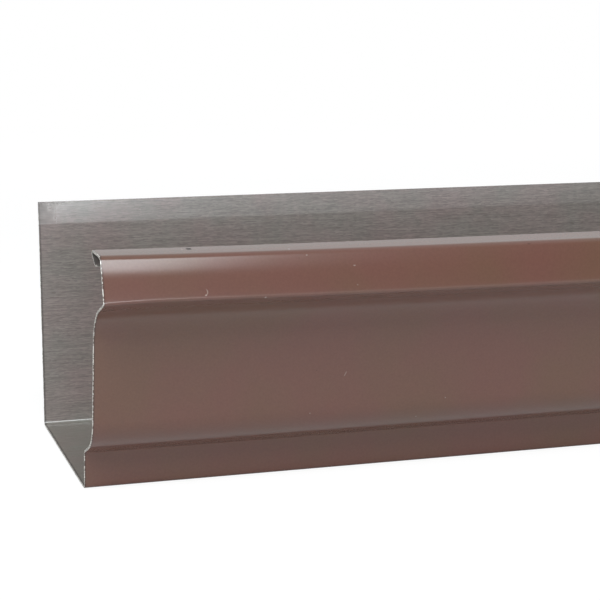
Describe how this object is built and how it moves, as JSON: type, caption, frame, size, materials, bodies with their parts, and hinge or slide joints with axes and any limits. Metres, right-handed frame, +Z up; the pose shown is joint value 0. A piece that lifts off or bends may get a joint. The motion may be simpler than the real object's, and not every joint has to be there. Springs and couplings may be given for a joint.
{
  "type": "rain gutter section",
  "caption": "Straight length of roll-formed eaves gutter in the K style: flat back and floor, stepped ogee front and a top hem folded inwards, open on top and cut square at its ends.",
  "frame": {"origin": "centre of the bounding box at the underside of the floor, halfway along the length", "axes": "+X along the gutter, +Y out of the flat back towards the wall it hangs on, +Z up, out of the open top"},
  "size_m": [3.048, 0.1294, 0.0821],
  "materials": {
    "painted_sheet": "satin"
  },
  "bodies": {
    "root": {"gutter_section": "painted_sheet"}
  },
  "joints": []
}
